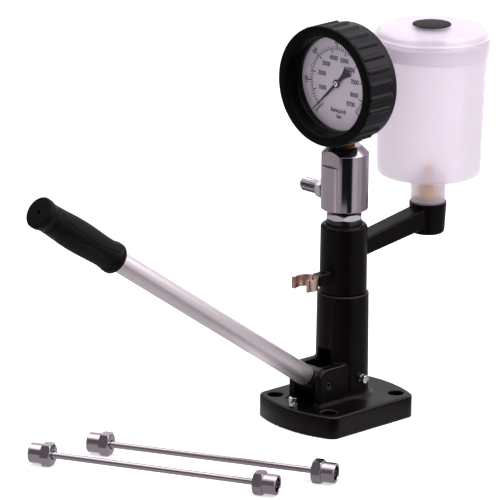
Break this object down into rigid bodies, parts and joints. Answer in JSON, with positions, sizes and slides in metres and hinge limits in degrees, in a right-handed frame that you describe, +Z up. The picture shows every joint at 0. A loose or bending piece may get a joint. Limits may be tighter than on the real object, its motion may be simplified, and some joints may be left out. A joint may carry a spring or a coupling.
{
  "type": "diesel injector tester",
  "caption": "Hand pump in a black cast stand with a lever, rubber-guarded pressure gauge, translucent oil reservoir on an arm, spring clip and two loose test pipes.",
  "frame": {"origin": "on the column axis at the underside of the base", "axes": "+Z up the column, -Y to the operator, where the lever and the dial point, +Y to the reservoir, -X to the outlet"},
  "size_m": [0.249, 0.5837, 0.4042],
  "materials": {
    "black_paint": "satin black enamel",
    "zinc": "bright zinc plate",
    "bright_steel": "bright plated, turned",
    "dark_steel": "dark oiled steel",
    "aluminium": "matt extruded",
    "brass": "machined",
    "copper": "soft copper",
    "spring_bronze": "copper-brown spring strip",
    "rubber": "matt black",
    "milky_plastic": "translucent natural polyethylene",
    "dial_white": "printed pale dial",
    "glass": "clear",
    "red_rubber": "grey sealing disc"
  },
  "bodies": {
    "stand": {"barrel_washer": "copper", "base_casting": "black_paint", "bourdon_tube": "brass", "clip_screw": "zinc", "delivery_spring": "bright_steel", "gauge_bezel": "black_paint", "gauge_boot": "rubber", "gauge_case": "black_paint", "gauge_dial": "dial_white", "gauge_gasket": "rubber", "gauge_lens": "glass", "gauge_stem": "brass", "gauge_washer": "copper", "gland_nut": "zinc", "jam_nut": "zinc", "lever_clip": "spring_bronze", "movement_frame": "brass", "outlet_union": "zinc", "pivot_pin": "dark_steel", "plunger_seal": "rubber", "pump_barrel": "dark_steel", "pump_housing": "black_paint", "side_screw": "zinc", "side_screw_nut": "zinc", "stop_screw": "zinc", "stop_screw_nut": "zinc", "tank": "milky_plastic", "tank_fitting": "brass", "tank_seal": "red_rubber", "union_washer": "copper", "valve_body": "bright_steel"},
    "lever": {"lever_crank": "black_paint", "lever_tube": "aluminium", "lever_grip": "rubber"},
    "plunger_group": {"crosshead": "dark_steel", "plunger": "bright_steel", "plunger_pin": "bright_steel"},
    "delivery_poppet": {"delivery_valve": "bright_steel"},
    "pointer": {"gauge_pointer": "black_paint", "pointer_arbor": "brass"},
    "sector": {"sector_gear": "brass"},
    "lid": {"tank_lid": "milky_plastic"},
    "cap": {"vent_cap": "rubber"},
    "front_pipe": {"test_pipe_front": "bright_steel"},
    "front_left_nut": {"test_pipe_front_left_nut": "bright_steel"},
    "front_right_nut": {"test_pipe_front_right_nut": "bright_steel"},
    "rear_pipe": {"test_pipe_rear": "bright_steel"},
    "rear_left_nut": {"test_pipe_rear_left_nut": "bright_steel"},
    "rear_right_nut": {"test_pipe_rear_right_nut": "bright_steel"}
  },
  "joints": [
    {"name": "lever_pivot", "type": "hinge", "parent": "stand", "child": "lever", "pos_m": [0, -0.039, 0.0436], "axis": [-1, 0, 0], "range_deg": [-33.9, 48], "deforming": ["lever_clip"]},
    {"name": "plunger_stroke", "type": "slide", "parent": "stand", "child": "plunger_group", "axis": [0, 0, 1], "range_m": [-0.0331, 0.0234]},
    {"name": "delivery_lift", "type": "slide", "parent": "stand", "child": "delivery_poppet", "axis": [0, 0, 1], "range_m": [0, 0.0015], "stiffness_N_per_m": 150, "springref_m": -0.003, "deforming": ["delivery_spring"]},
    {"name": "pointer_swing", "type": "hinge", "parent": "stand", "child": "pointer", "pos_m": [0, 0, 0.3434], "axis": [-0.0593, 0.9982, 0], "range_deg": [0, 270], "stiffness_Nm_per_rad": 0.0004, "springref_deg": -17.19},
    {"name": "sector_swing", "type": "hinge", "parent": "stand", "child": "sector", "pos_m": [0, 0, 0.3194], "axis": [-0.0593, 0.9982, 0], "range_deg": [-38.6, 0]},
    {"name": "lid_lift", "type": "slide", "parent": "stand", "child": "lid", "axis": [0, 0, 1], "range_m": [0, 0.06]},
    {"name": "cap_pull", "type": "slide", "parent": "lid", "child": "cap", "axis": [0, 0, 1], "range_m": [0, 0.025]},
    {"name": "front_pipe_lift", "type": "slide", "parent": "stand", "child": "front_pipe", "axis": [0, 0, 1], "range_m": [0, 0.05]},
    {"name": "front_left_nut_turn", "type": "hinge", "parent": "front_pipe", "child": "front_left_nut", "pos_m": [0.021, -0.2725, 0.0108], "axis": [0.8973, 0.4415, 0], "continuous": true},
    {"name": "front_right_nut_turn", "type": "hinge", "parent": "front_pipe", "child": "front_right_nut", "pos_m": [0.021, -0.2725, 0.0108], "axis": [0.8973, 0.4415, 0], "continuous": true},
    {"name": "rear_pipe_lift", "type": "slide", "parent": "stand", "child": "rear_pipe", "axis": [0, 0, 1], "range_m": [0, 0.05]},
    {"name": "rear_left_nut_turn", "type": "hinge", "parent": "rear_pipe", "child": "rear_left_nut", "pos_m": [0.0345, -0.2088, 0.0108], "axis": [0.8926, 0.4509, 0], "continuous": true},
    {"name": "rear_right_nut_turn", "type": "hinge", "parent": "rear_pipe", "child": "rear_right_nut", "pos_m": [0.0345, -0.2088, 0.0108], "axis": [0.8926, 0.4509, 0], "continuous": true}
  ],
  "couplings": [
    {"joint": "plunger_stroke", "follows": "lever_pivot", "m_per_rad": -0.039426},
    {"joint": "sector_swing", "follows": "pointer_swing", "ratio": -0.14286}
  ]
}
